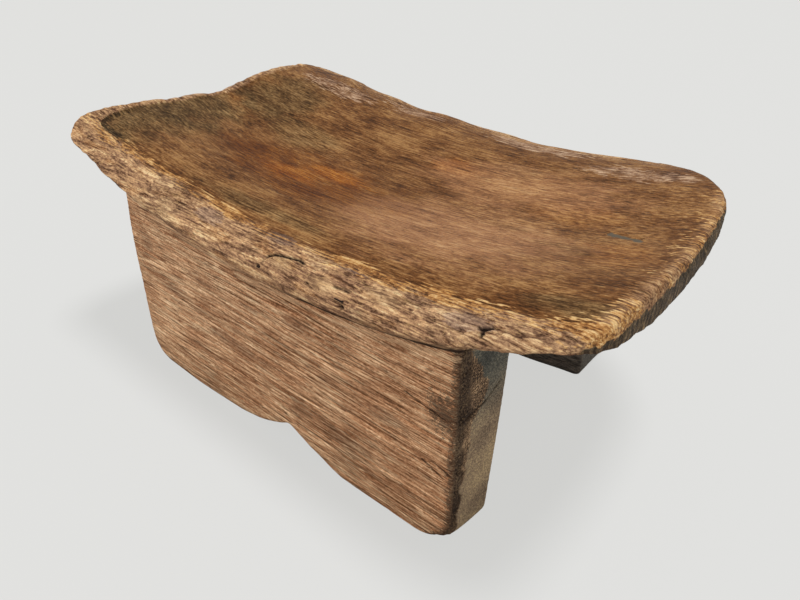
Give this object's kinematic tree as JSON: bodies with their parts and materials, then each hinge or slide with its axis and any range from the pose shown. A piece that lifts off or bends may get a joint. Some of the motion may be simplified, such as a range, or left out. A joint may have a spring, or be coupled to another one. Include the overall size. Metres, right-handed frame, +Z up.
{
  "type": "stool",
  "caption": "Low stool with a dished, cradle-shaped plank seat housed and nailed onto two lengthwise slab legs with shallow arch notches.",
  "frame": {"origin": "on the floor, under the middle of the seat", "axes": "+X along the seat's length, towards the strongly bowed end; +Y from the front leg to the rear leg; +Z up"},
  "size_m": [0.6207, 0.3713, 0.2667],
  "materials": {
    "seat_wood": "hand-carved hardwood with a dark, rubbed brown patina and a dry, frayed rim",
    "leg_wood": "dry, weathered tan-brown hardwood with open straight grain",
    "forged_iron": "hand-forged iron, dark with brown rust"
  },
  "bodies": {
    "root": {"seat": "seat_wood", "front_leg": "leg_wood", "rear_leg": "leg_wood", "front_leg_nails": "forged_iron", "rear_leg_nails": "forged_iron"}
  },
  "joints": []
}
